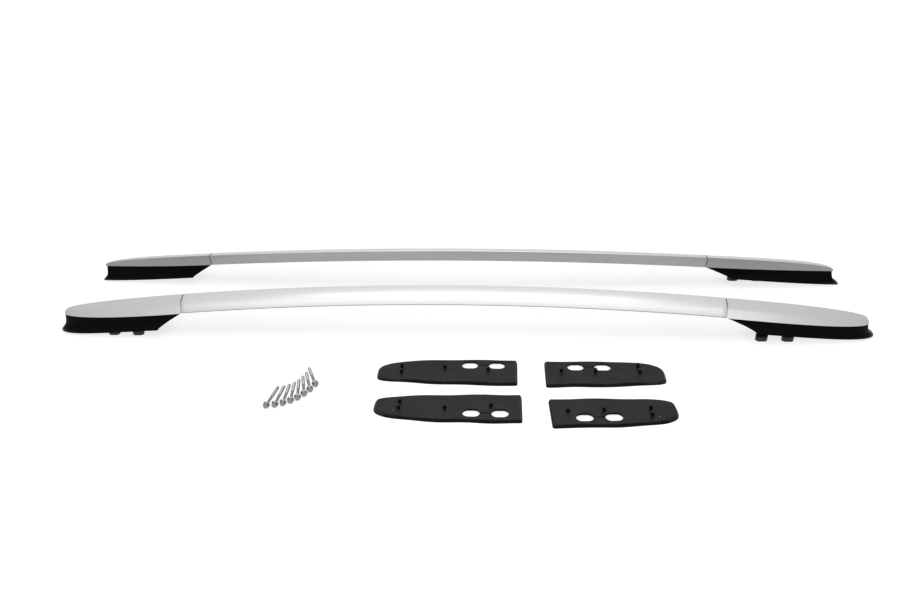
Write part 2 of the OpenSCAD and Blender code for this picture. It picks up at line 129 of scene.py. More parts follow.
def number(name, description, default, **more):
    """A plain number, such as a roughness or a power."""
    return FloatProperty(name=name, description=description, default=default, **more)


class BarSettings(bpy.types.PropertyGroup):
    """Sizes and finish of the two extruded bars."""

    rise: length("Arch rise", "Rise of the bar's middle above its ends", 0.020, min=0.005)
    bow: length("Bow", "Sideways bow of the bar's middle towards the other rail", 0.010, min=0.001)
    steps: IntProperty(name="Steps", description="Faces along the arch", default=120, min=24)
    edge: length("Edge break", "Width of the broken edges at the sawn ends", 0.0003)
    crease: angle("Crease angle", "Edges sharper than this stay crisp", 30)
    seam: length("Seam", "How far a bar and a cap draw back from the seam between them", 0.0008)
    colour: tone("Colour", "Satin anodised aluminium", (0.64, 0.645, 0.65))
    # Painted shade: this dark colour stands in for the shade under the bar and along its lower edge.
    underside_shade_colour: tone("Underside colour", "Painted shade on the underside and the lower edge", (0.06, 0.06, 0.062))
    # Painted shade: a darker copy of the aluminium on the flat inner faces.
    inner_shade_share: number("Inner face", "Painted shade: brightness of the flat inner faces beside the outer ones", 0.74)
    metal: number("Metal", "Share of bare metal in the finish", 0.4)
    rough: number("Roughness", "Roughness of the satin finish", 0.36)


class CapSettings(bpy.types.PropertyGroup):
    """Surface and finish of the four moulded end caps."""

    crease: angle("Crease angle", "Edges sharper than this stay crisp", 32)
    levels: IntProperty(name="Levels", description="Rounds of smoothing", default=2, min=0, max=3)
    colour: tone("Colour", "Satin silver paint", (0.60, 0.605, 0.61))
    # Painted shade: a darker copy of the paint on the flat inner faces.
    inner_shade_share: number("Inner face", "Painted shade: brightness of the flat inner faces beside the outer ones", 0.64)
    metal: number("Metal", "Share of metal flake in the paint", 0.35)
    rough: number("Roughness", "Roughness of the paint", 0.3)


class FootSettings(bpy.types.PropertyGroup):
    """Surface and finish of the four moulded feet."""

    crease: angle("Crease angle", "Edges sharper than this stay crisp", 34)
    levels: IntProperty(name="Levels", description="Rounds of smoothing", default=1, min=0, max=3)
    colour: tone("Colour", "Black moulded nylon", (0.003, 0.003, 0.0031))
    rough: number("Roughness", "Roughness of the moulded skin", 0.38)
    rim_gloss: number("Rim gloss", "Gloss of the curled rim", 0.8)
    rim_low: length("Rim", "Height up to which the rim is glossy", 0.006)
    rim_high: length("Rim end", "Height at which the rim's gloss ends", 0.013)


class JointSettings(bpy.types.PropertyGroup):
    """Finish of the spigots, screws and sleeves inside the feet."""

    edge: length("Edge break", "Width of the broken edges", 0.0003)
    crease: angle("Crease angle", "Edges sharper than this stay crisp", 35)
    cast_colour: tone("Cast colour", "Die-cast alloy", (0.50, 0.505, 0.51))
    steel_colour: tone("Steel colour", "Plain turned steel", (0.56, 0.56, 0.57))


class GasketSettings(bpy.types.PropertyGroup):
    """Surface and finish of the four rubber gaskets."""

    crease: angle("Crease angle", "Edges sharper than this stay crisp", 38)
    levels: IntProperty(name="Levels", description="Rounds of smoothing", default=2, min=0, max=3)
    colour: tone("Colour", "Black rubber", (0.013, 0.013, 0.0133))
    # Painted shade: the gasket's side walls are darker than its flat faces.
    edge_shade_share: number("Edges", "Painted shade: brightness of the edges beside the flat faces", 0.3)
    rough: number("Roughness", "Roughness of the rubber", 0.42)
    plate: length("Plate", "Height of the plate's upper face", 0.007)
    peg_spread: number("Peg spread", "Width of the pegs over that of the CAD's", 1.5)
    peg_lift: number("Peg lift", "Height of the pegs over that of the CAD's", 2.3)
    corner: length("Corner radius", "Radius of the two corners at the inner end", 0.005)
    slit_more: length("Slit", "How much each side of the slit draws back", 0.0003)
    wave: number("Wave", "Share of its width by which the soft outline draws in", 0.045)
    wave_length: length("Wave length", "Distance from one wave of the outline to the next", 0.11)


class BoltSettings(bpy.types.PropertyGroup):
    """Sizes and finish of the eight flange bolts."""

    diameter: length("Thread", "Outer diameter of the thread", 0.006)
    reach: length("Length", "Length under the head", 0.060)
    threaded: length("Threaded length", "Length of the thread from the tip", 0.034)
    pitch: length("Pitch", "Distance from one turn of the thread to the next", 0.001)
    depth: length("Thread depth", "Depth of the thread", 0.0006)
    flange: length("Flange", "Diameter of the flange", 0.0134)
    flats: length("Flats", "Width of the head across its flats", 0.010)
    head: length("Head", "Height of the head with its flange", 0.007)
    crease: angle("Crease angle", "Edges sharper than this stay crisp", 32)
    colour: tone("Colour", "Bright zinc plate", (0.24, 0.244, 0.252))
    rough: number("Roughness", "Roughness of the plating", 0.16)


class StageSettings(bpy.types.PropertyGroup):
    """Camera, lamps and floor."""

    place: FloatVectorProperty(
        name="Camera", description="Place of the camera", default=(0.1007, -1.3935, 0.9535),
        subtype="XYZ", unit="LENGTH",
    )
    pitch: angle("Pitch", "How far the camera looks down", 31.920)
    yaw: angle("Yaw", "How far the camera turns to the right", -3.736)
    roll: angle("Roll", "How far the camera leans", -1.530)
    focal: number("Focal length", "Focal length in millimetres for a 36 mm frame", 30.973)
    floor_size: length("Floor", "Size of the floor", 80.0)
    floor_tone: number("Floor tone", "Reflectance of the floor under the lamps", 0.42)
    floor_glow: number("Floor glow", "White that the floor shows the camera beside the rails", 0.72)
    white_from: length("White from", "Distance from the middle at which the floor starts to turn plain white", 0.5)
    white_to: length("White to", "Distance from the middle past which the floor is plain white", 1.3)
    sky: number("Sky", "Strength of the even light from all round", 0.13)
    key: number("Key", "Power of the broad lamp above the camera, in watts", 10.8)
    top: number("Top", "Power of the broad lamp overhead, in watts", 12.0)


def deselect():
    """Clears the selection."""
    bpy.ops.object.select_all(action="DESELECT")


def only(piece):
    """Selects one piece, and makes it the active one."""
    deselect()
    piece.select_set(True)
    bpy.context.view_layer.objects.active = piece


def edit(select="SELECT", mode="VERT"):
    """Enters edit mode with everything or nothing selected."""
    bpy.ops.object.mode_set(mode="EDIT")
    bpy.ops.mesh.select_mode(type=mode)
    bpy.ops.mesh.select_all(action=select)


def leave_edit():
    """Goes back to object mode, which writes the mesh."""
    bpy.ops.object.mode_set(mode="OBJECT")


def add_modifier(piece, kind, **values):
    """Adds a modifier, sets it and applies it."""
    only(piece)
    modifier = piece.modifiers.new(kind.title(), kind)
    for key, value in values.items():
        setattr(modifier, key, value)
    bpy.ops.object.modifier_apply(modifier=modifier.name)


def break_edges(piece, width):
    """Turns a piece's sharp edges into narrow bevels."""
    add_modifier(piece, "BEVEL", width=width, segments=2, limit_method="ANGLE", angle_limit=BROKEN_EDGE)


def new_piece(name, mesh=None):
    """A new object in the scene, selected, with the given mesh or an empty one."""
    piece = bpy.data.objects.new(name, mesh or bpy.data.meshes.new(name))
    bpy.context.scene.collection.objects.link(piece)
    only(piece)
    return piece


def copy_of(node, name):
    """A joined-up copy of a CAD node's mesh, with four-sided faces where its triangles pair up."""
    piece = new_piece(name, frame["nodes"][node].data.copy())
    if piece.data.has_custom_normals:
        bpy.ops.mesh.customdata_custom_splitnormals_clear()
    edit()
    bpy.ops.mesh.remove_doubles(threshold=MERGE)
    bpy.ops.mesh.tris_convert_to_quads(face_threshold=PAIR_BEND, shape_threshold=PAIR_SKEW)
    leave_edit()
    return piece


def shade(piece, crease):
    """Shades a piece smooth, apart from the edges sharper than the crease."""
    only(piece)
    bpy.ops.object.shade_smooth_by_angle(angle=crease)


def smooth_form(piece, crease, levels):
    """Rounds the broad faces of a moulded form and keeps its edges crisp."""
    only(piece)
    edit("DESELECT", "EDGE")
    bpy.ops.mesh.edges_select_sharp(sharpness=crease)
    bpy.ops.transform.edge_crease(value=1)
    leave_edit()
    if levels:
        add_modifier(piece, "SUBSURF", levels=levels, render_levels=levels)
    shade(piece, crease)


def dress(piece, material, slot, *nodes):
    """Gives a finished piece its material and its body, keeps it between the frame's floor and crest, and hides the
    CAD nodes that it stands for. The slot is not used.
    """
    floor, crest = CAD_BOX[0][2], CAD_BOX[1][2]
    for v in piece.data.vertices:
        v.co.z = min(max(v.co.z, floor), crest)
    piece.data.materials.clear()
    piece.data.materials.append(material)
    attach(piece, "root")
    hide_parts(*nodes)


def finish_faces(piece, material, test):
    """Gives the faces that pass a test a finish of their own."""
    piece.data.materials.append(material)
    for face in piece.data.polygons:
        if test(face):
            face.material_index = len(piece.data.materials) - 1


def place_node(tree, kind, inputs=None, **values):
    """A shader node with its values set and its inputs filled or linked."""
    made = tree.nodes.new(kind)
    for key, value in values.items():
        setattr(made, key, value)
    for key, value in (inputs or {}).items():
        if isinstance(value, bpy.types.NodeSocket):
            tree.links.new(value, made.inputs[key])
        else:
            made.inputs[key].default_value = value
    return made


def shared_group(name, inputs, outputs, fill):
    """A shader node group with named sockets. It is built once and used by several materials."""
    if name in bpy.data.node_groups:
        return bpy.data.node_groups[name]
    tree = bpy.data.node_groups.new(name, "ShaderNodeTree")
    for label, kind, default in inputs:
        tree.interface.new_socket(name=label, in_out="INPUT", socket_type=kind).default_value = default
    for label, kind in outputs:
        tree.interface.new_socket(name=label, in_out="OUTPUT", socket_type=kind)
    entry, out = tree.nodes.new("NodeGroupInput"), tree.nodes.new("NodeGroupOutput")
    for label, socket in fill(tree, entry.outputs).items():
        tree.links.new(socket, out.inputs[label])
    return tree


def fill_grain(tree, given):
    """A fine grain, which may be stretched along an axis, and a broad mottle."""
    where = place_node(tree, "ShaderNodeTexCoord").outputs["Object"]
    stretched = place_node(tree, "ShaderNodeVectorMath", {0: where, 1: given["Stretch"]}, operation="MULTIPLY")
    fine = place_node(
        tree, "ShaderNodeTexNoise",
        {"Vector": stretched.outputs[0], "Scale": given["Scale"], "Detail": 4.0, "Roughness": 0.6},
    )
    broad = place_node(
        tree, "ShaderNodeTexNoise", {"Vector": where, "Scale": given["Mottle scale"], "Detail": 3.0}
    )
    return {"Height": fine.outputs[0], "Mottle": broad.outputs[0]}


def spread_about(tree, middle, given):
    """A value that follows the mask from the spread below the middle to the spread above it."""
    low = place_node(tree, "ShaderNodeMath", {0: middle, 1: given["Spread"]}, operation="SUBTRACT")
    high = place_node(tree, "ShaderNodeMath", {0: middle, 1: given["Spread"]}, operation="ADD")
    return place_node(
        tree, "ShaderNodeMapRange",
        {"Value": given["Mask"], "From Min": NOISE_LOW, "From Max": NOISE_HIGH,
         "To Min": low.outputs[0], "To Max": high.outputs[0]},
    ).outputs[0]


def fill_tint(tree, given):
    """The colour, a little darker and lighter from place to place."""
    gain = spread_about(tree, 1.0, given)
    tinted = place_node(tree, "ShaderNodeVectorMath", {0: given["Colour"], "Scale": gain}, operation="SCALE")
    return {"Colour": tinted.outputs[0]}


def fill_roughness(tree, given):
    """The roughness, a little lower and higher from place to place."""
    return {"Roughness": spread_about(tree, given["Roughness"], given)}


def grain_group():
    return shared_group(
        "Surface grain",
        [("Scale", "NodeSocketFloat", 800.0), ("Stretch", "NodeSocketVector", (1, 1, 1)),
         ("Mottle scale", "NodeSocketFloat", 9.0)],
        [("Height", "NodeSocketFloat"), ("Mottle", "NodeSocketFloat")],
        fill_grain,
    )


def tint_group():
    return shared_group(
        "Colour variation",
        [("Colour", "NodeSocketColor", WHITE), ("Mask", "NodeSocketFloat", 0.5),
         ("Spread", "NodeSocketFloat", 0.03)],
        [("Colour", "NodeSocketColor")],
        fill_tint,
    )


def roughness_group():
    return shared_group(
        "Roughness variation",
        [("Roughness", "NodeSocketFloat", 0.4), ("Mask", "NodeSocketFloat", 0.5),
         ("Spread", "NodeSocketFloat", 0.04)],
        [("Roughness", "NodeSocketFloat")],
        fill_roughness,
    )


def finish_material(name, colour, rough, metal=0.0, grain=800.0, stretch=(1, 1, 1), bump=0.2, depth=0.0001,
                    mottle=9.0, tint=0.03, rough_spread=0.04, sag=0.0, **principled):
    """A finish with its own grain, colour variation and roughness variation, all read from Object coordinates."""
    if name in bpy.data.materials:
        return bpy.data.materials[name]
    material = bpy.data.materials.new(name)
    material.use_nodes = True
    tree = material.node_tree
    tree.nodes.clear()
    surface = place_node(
        tree, "ShaderNodeGroup", {"Scale": grain, "Stretch": stretch, "Mottle scale": mottle},
        node_tree=grain_group(),
    ).outputs
    tinted = place_node(
        tree, "ShaderNodeGroup", {"Colour": (*colour, 1), "Mask": surface["Mottle"], "Spread": tint},
        node_tree=tint_group(),
    )
    ranged = place_node(
        tree, "ShaderNodeGroup", {"Roughness": rough, "Mask": surface["Height"], "Spread": rough_spread},
        node_tree=roughness_group(),
    )
    bumped = place_node(
        tree, "ShaderNodeBump", {"Height": surface["Height"], "Strength": bump, "Distance": depth}
    )
    if sag:
        sagged = place_node(tree, "ShaderNodeBump", {"Height": surface["Mottle"], "Distance": sag})
        tree.links.new(sagged.outputs[0], bumped.inputs["Normal"])
    shader = place_node(
        tree, "ShaderNodeBsdfPrincipled",
        {"Base Color": tinted.outputs[0], "Roughness": ranged.outputs[0], "Normal": bumped.outputs[0],
         "Metallic": metal, **principled},
    )
    place_node(tree, "ShaderNodeOutputMaterial", {"Surface": shader.outputs[0]})
    return material


def dimmed(colour, part):
    """A colour at a part of its brightness, for the darker copies of a finish that paint shade on some faces."""
    return [part * level for level in colour]


# A part below one gives the darker copy that paints shade on the flat inner faces.
def aluminium_finish(name="Satin anodised aluminium", part=1.0):
    own = bpy.context.scene.rail_bar
    return finish_material(name, dimmed(own.colour, part), own.rough, own.metal, tint=0.015, **DRAWN)


# Painted shade: a near-black copy of the aluminium on the underside and the lower outer edge, standing in for the
# shade that falls there.
def underside_shade_finish():
    own = bpy.context.scene.rail_bar
    return finish_material("Aluminium underside painted shade", own.underside_shade_colour, rough=0.5, metal=0.7, tint=0.03, **DRAWN)


# A part below one gives the darker copy that paints shade on the flat inner faces.
def paint_finish(name="Silver paint", part=1.0):
    own = bpy.context.scene.rail_cap
    return finish_material(
        name, dimmed(own.colour, part), own.rough, own.metal, grain=2600.0, bump=0.1, depth=0.00003, mottle=14.0,
        tint=0.015, rough_spread=0.05, **{"Coat Weight": 0.15, "Coat Roughness": 0.25},
    )


def moulding_finish():
    """Black nylon, with a glossy coat on the curled rim alone."""
    own = bpy.context.scene.rail_foot
    material = finish_material(
        "Black moulded nylon", own.colour, own.rough, grain=1300.0, bump=0.35, depth=0.00006, mottle=30.0,
        tint=0.12, rough_spread=0.06, **{"Specular IOR Level": 0.03, "Coat Roughness": 0.3},
    )
    tree = material.node_tree
    coat = tree.nodes["Principled BSDF"].inputs["Coat Weight"]
    if not coat.is_linked:
        where = place_node(tree, "ShaderNodeTexCoord").outputs["Object"]
        height = place_node(tree, "ShaderNodeSeparateXYZ", {0: where}).outputs["Z"]
        rim = place_node(
            tree, "ShaderNodeMapRange",
            {"Value": height, "From Min": own.rim_low, "From Max": own.rim_high,
             "To Min": own.rim_gloss, "To Max": 0.0},
            interpolation_type="SMOOTHSTEP",
        )
        tree.links.new(rim.outputs[0], coat)
    return material


def cast_finish():
    own = bpy.context.scene.rail_joint
    return finish_material(
        "Die-cast alloy", own.cast_colour, rough=0.48, metal=0.85, grain=700.0, bump=0.4, depth=0.0001,
        mottle=40.0, tint=0.08, rough_spread=0.08,
    )


def steel_finish(name):
    own = bpy.context.scene.rail_joint
    return finish_material(
        name, own.steel_colour, rough=0.3, metal=1.0, grain=2200.0, stretch=(1, 1, 0.1), bump=0.2,
        depth=0.00003, mottle=60.0, tint=0.05, rough_spread=0.06,
    )


def rubber_finish():
    own = bpy.context.scene.rail_gasket
    return finish_material(
        "Black gasket rubber", own.colour, own.rough, tint=0.25, sag=0.004, **CURED, **{"Specular IOR Level": 0.14}
    )


# Painted shade: a darker copy of the rubber on the gasket's side walls, in place of the dark that they would show.
def gasket_edge_shade_finish():
    own = bpy.context.scene.rail_gasket
    return finish_material(
        "Black gasket edges painted shade", dimmed(own.colour, own.edge_shade_share), rough=0.5, tint=0.2, **CURED,
        **{"Specular IOR Level": 0.06},
    )


def zinc_finish():
    own = bpy.context.scene.rail_bolt
    return finish_material(
        "Bright zinc plate", own.colour, own.rough, metal=1.0, grain=1800.0, bump=0.08, depth=0.00003,
        mottle=120.0, tint=0.05, rough_spread=0.05,
    )


def end_section(piece, low_x):
    """Reduces a bar to the outlines of its section at the rear end."""
    shape = bmesh.new()
    shape.from_mesh(piece.data)
    bmesh.ops.delete(shape, geom=[v for v in shape.verts if v.co.x > low_x + SAWN_END], context="VERTS")
    inner = [e for e in shape.edges if len(e.link_faces) != 1]
    bmesh.ops.delete(shape, geom=list(shape.faces), context="FACES_ONLY")
    bmesh.ops.delete(shape, geom=inner, context="EDGES")
    shape.to_mesh(piece.data)
    shape.free()


def select_open_edges(piece, test):
    """Selects the open edges whose two ends both pass a test, in edit mode."""
    shape = bmesh.from_edit_mesh(piece.data)
    for part in (shape.verts, shape.edges, shape.faces):
        for item in part:
            item.select = False
    for e in shape.edges:
        if e.is_boundary and all(test(v.co) for v in e.verts):
            e.select = True
    bmesh.update_edit_mesh(piece.data)


def inner_face(inwards):
    """A test for the faces of the flat side towards the other rail, which get a darker copy of the finish as
    painted shade.
    """
    return lambda face: face.normal.y * inwards > INNER_FACE


def underneath(inwards):
    """A test for the faces that get painted shade: a bar's underside and, on its outer side, its lower edge."""
    return lambda face: face.normal.z < (LOWER_EDGE if face.normal.y * inwards < OUTER_SIDE else UNDERSIDE)


def open_seams(piece, *seams):
    """Draws a piece back from its seams, each an x and the way from it to the piece, and paints its ends there
    black as painted shadow in the gap.
    """
    gap = bpy.context.scene.rail_bar.seam
    reach = 5 * gap
    for x, way in seams:
        for v in piece.data.vertices:
            away = (v.co.x - x) * way
            if -gap < away < reach:
                v.co.x = x + way * (gap + max(away, 0) * (1 - gap / reach))
    # Painted shadow: the end faces at a seam get the black rubber, standing in for the shade inside the gap.
    finish_faces(
        piece, rubber_finish(),
        lambda face: abs(face.normal.x) > SEAM_END and min(abs(face.center.x - x) for x, way in seams) < 2 * gap,
    )


def arch(node, section, inwards, own):
    """The centre, the axis and the angle of the turn that takes a bar's section from its rear to its front end."""
    low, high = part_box(node)
    inner_y = max(v.co.y * inwards for v in section.vertices) * inwards
    inner_z = min(v.co.z for v in section.vertices if abs(v.co.y - inner_y) < MM)
    foot = min((v.co for v in section.vertices), key=lambda co: (co - Vector((co.x, inner_y, inner_z))).length)
    first, last = [
        min(
            (v.co for v in frame["nodes"][node].data.vertices),
            key=lambda co: (co - Vector((x, foot.y, foot.z))).length,
        )
        for x in (low.x, high.x)
    ]
    half = (last.x - first.x) / 2
    sagitta = math.hypot(own.rise, own.bow)
    radius = (half * half + sagitta * sagitta) / (2 * sagitta)
    lean = math.atan2(own.bow, own.rise)
    rise_way = Vector((0, inwards * math.sin(lean), math.cos(lean)))
    centre = (first + last) / 2 + rise_way * (sagitta - radius)
    return centre, X_AXIS.cross(rise_way), 2 * math.asin(half / radius)


def swept_bar(side, own):
    """The extrusion: its sawn section is spun along the arch, and its two ends are closed again."""
    node, inwards = f"{side}_bar", INWARDS[side]
    piece = copy_of(node, f"{node}_extrusion")
    low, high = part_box(node)
    end_section(piece, low.x)
    centre, axis, turn = arch(node, piece.data, inwards, own)
    only(piece)
    edit("SELECT", "EDGE")
    bpy.ops.mesh.spin(steps=own.steps, dupli=False, angle=turn, center=centre, axis=axis)
    for near in (lambda co: co.x < low.x + SAWN_END, lambda co: co.x > high.x - SAWN_END):
        select_open_edges(piece, near)
        bpy.ops.mesh.bridge_edge_loops()
    bpy.ops.mesh.select_all(action="SELECT")
    bpy.ops.mesh.normals_make_consistent(inside=False)
    leave_edit()
    break_edges(piece, own.edge)
    shade(piece, own.crease)
    dress(piece, aluminium_finish(), "satin_aluminium", node)
    # Painted shade: the flat inner face gets a darker copy of the aluminium.
    finish_faces(piece, aluminium_finish("Satin aluminium inner face painted shade", own.inner_shade_share), inner_face(inwards))
    # Painted shade on the underside and the lower outer edge.
    finish_faces(piece, underside_shade_finish(), underneath(inwards))
    open_seams(piece, (low.x, 1), (high.x, -1))


class SIDERAILS_OT_stage(bpy.types.Operator):
    """Make the camera, the lamps, the even light and the white floor"""

    bl_idname = "side_rails.stage"
    bl_label = "Stage"

    def execute(self, context):
        own = context.scene.rail_stage
        self.camera(context, own)
        self.lamps(own)
        self.sky(context, own)
        self.floor(own)
        context.scene.view_settings.view_transform = "Standard"
        return {"FINISHED"}

    def camera(self, context, own):
        """The photograph's camera."""
        data = bpy.data.cameras.new("Photo angle")
        data.sensor_width, data.lens = 36, own.focal
        data.clip_start, data.clip_end = 0.01, 200
        eye = bpy.data.objects.new("Photo angle", data)
        context.scene.collection.objects.link(eye)
        level = math.cos(own.pitch)
        ahead = Vector((math.sin(own.yaw) * level, math.cos(own.yaw) * level, -math.sin(own.pitch)))
        right = Vector((math.cos(own.yaw), -math.sin(own.yaw), 0))
        up = right.cross(ahead)
        leaning = right * math.cos(own.roll) + up * math.sin(own.roll)
        upright = up * math.cos(own.roll) - right * math.sin(own.roll)
        turned = Matrix((leaning, upright, -ahead)).transposed().to_4x4()
        turned.translation = own.place
        eye.matrix_world = turned
        context.scene.camera = eye

    def lamps(self, own):
        """Two broad lamps, each with its power, its place, the point that it faces and its size."""
        for name, power, place, aim, size in (
            ("Key lamp", own.key, (0, -1.05, 1.05), (0, -0.2, 0.05), (2.2, 0.95)),
            ("Top lamp", own.top, (0, 0, 1.3), (0, 0, 0), (1.3, 1.2)),
        ):
            data = bpy.data.lights.new(name, "AREA")
            data.shape, data.size, data.size_y, data.energy = "RECTANGLE", *size, power
            lamp = bpy.data.objects.new(name, data)
            bpy.context.scene.collection.objects.link(lamp)
            lamp.location = place
            lamp.rotation_euler = (Vector(aim) - Vector(place)).to_track_quat("-Z", "Y").to_euler()
            lamp.visible_camera = False

    def sky(self, context, own):
        """A weak even light that looks plain white wherever it is seen."""
        world = bpy.data.worlds.new("Even light")
        context.scene.world = world
        world.use_nodes = True
        tree = world.node_tree
        tree.nodes.clear()
        plain = place_node(tree, "ShaderNodeBackground", {"Color": WHITE, "Strength": own.sky})
        white = place_node(tree, "ShaderNodeBackground", {"Color": WHITE, "Strength": 1.0})
        mixed = place_node(
            tree, "ShaderNodeMixShader", {0: self.seen(tree), 1: plain.outputs[0], 2: white.outputs[0]}
        )
        place_node(tree, "ShaderNodeOutputWorld", {"Surface": mixed.outputs[0]})

    def seen(self, tree):
        """One where the camera, a reflection or glass looks, and nought where light is gathered."""
        path = place_node(tree, "ShaderNodeLightPath").outputs
        either = place_node(
            tree, "ShaderNodeMath", {0: path["Is Camera Ray"], 1: path["Is Glossy Ray"]}, operation="MAXIMUM"
        )
        return place_node(
            tree, "ShaderNodeMath", {0: either.outputs[0], 1: path["Is Transmission Ray"]}, operation="MAXIMUM"
        ).outputs[0]

    def floor(self, own):
        """A floor that takes shadows and turns plain white away from the rails."""
        deselect()
        bpy.ops.mesh.primitive_plane_add(size=own.floor_size, location=(0, 0, 0))
        ground = bpy.context.object
        ground.name = "floor"
        material = bpy.data.materials.new("White floor")
        material.use_nodes = True
        tree = material.node_tree
        tree.nodes.clear()
        lit = place_node(tree, "ShaderNodeBsdfDiffuse", {"Color": (*[own.floor_tone] * 3, 1)})
        where = place_node(tree, "ShaderNodeTexCoord").outputs["Object"]
        away = place_node(tree, "ShaderNodeVectorMath", {0: where}, operation="LENGTH").outputs["Value"]
        whiter = place_node(
            tree, "ShaderNodeMapRange",
            {"Value": away, "From Min": own.white_from, "From Max": own.white_to,
             "To Min": own.floor_glow, "To Max": 1.0},
            interpolation_type="SMOOTHSTEP",
        )
        strength = place_node(
            tree, "ShaderNodeMath", {0: self.seen(tree), 1: whiter.outputs[0]}, operation="MULTIPLY"
        )
        glow = place_node(tree, "ShaderNodeEmission", {"Color": WHITE, "Strength": strength.outputs[0]})
        both = place_node(tree, "ShaderNodeAddShader", {0: lit.outputs[0], 1: glow.outputs[0]})
        place_node(tree, "ShaderNodeOutputMaterial", {"Surface": both.outputs[0]})
        ground.data.materials.append(material)


class SIDERAILS_OT_bars(bpy.types.Operator):
    """Spin the section of each bar along its arch"""

    bl_idname = "side_rails.bars"
    bl_label = "Bars"

    def execute(self, context):
        for side in SIDES:
            swept_bar(side, context.scene.rail_bar)
        return {"FINISHED"}


class SIDERAILS_OT_caps(bpy.types.Operator):
    """Smooth the four end caps and give them their silver paint"""

    bl_idname = "side_rails.caps"
    bl_label = "End caps"

    def execute(self, context):
        own = context.scene.rail_cap
        for side, end in CORNERS:
            node = f"{side}_{end}_cap"
            piece = copy_of(node, f"{node}_shell")
            smooth_form(piece, own.crease, own.levels)
            dress(piece, paint_finish(), "silver_paint", node)
            # Painted shade: the flat inner face gets a darker copy of the paint.
            inner_shade_paint = paint_finish("Silver paint inner face painted shade", own.inner_shade_share)
            finish_faces(piece, inner_shade_paint, inner_face(INWARDS[side]))
            low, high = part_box(f"{side}_bar")
            open_seams(piece, (low.x, -1) if end == "rear" else (high.x, 1))
        return {"FINISHED"}


class SIDERAILS_OT_feet(bpy.types.Operator):
    """Smooth the four moulded feet and give them their black grain"""

    bl_idname = "side_rails.feet"
    bl_label = "Feet"

    def execute(self, context):
        own = context.scene.rail_foot
        for side, end in CORNERS:
            node = f"{side}_{end}_foot"
            piece = copy_of(node, f"{node}_moulding")
            smooth_form(piece, own.crease, own.levels)
            dress(piece, moulding_finish(), "black_moulding", node)
        return {"FINISHED"}


class SIDERAILS_OT_joints(bpy.types.Operator):
    """Break the edges of the spigots, screws and sleeves and give them their metals"""

    bl_idname = "side_rails.joints"
    bl_label = "Joints"

    def execute(self, context):
        own = context.scene.rail_joint
        for kind, slot, finish in (
            ("spigot", "cast_alloy", cast_finish()),
            ("screws", "screw_steel", steel_finish("Plated screw steel")),
            ("sleeves", "sleeve_steel", steel_finish("Turned sleeve steel")),
        ):
            for side, end in CORNERS:
                node = f"{side}_{end}_{kind}"
                piece = copy_of(node, f"{node}_broken_edges")
                break_edges(piece, own.edge)
                shade(piece, own.crease)
                dress(piece, finish, slot, node)
        return {"FINISHED"}


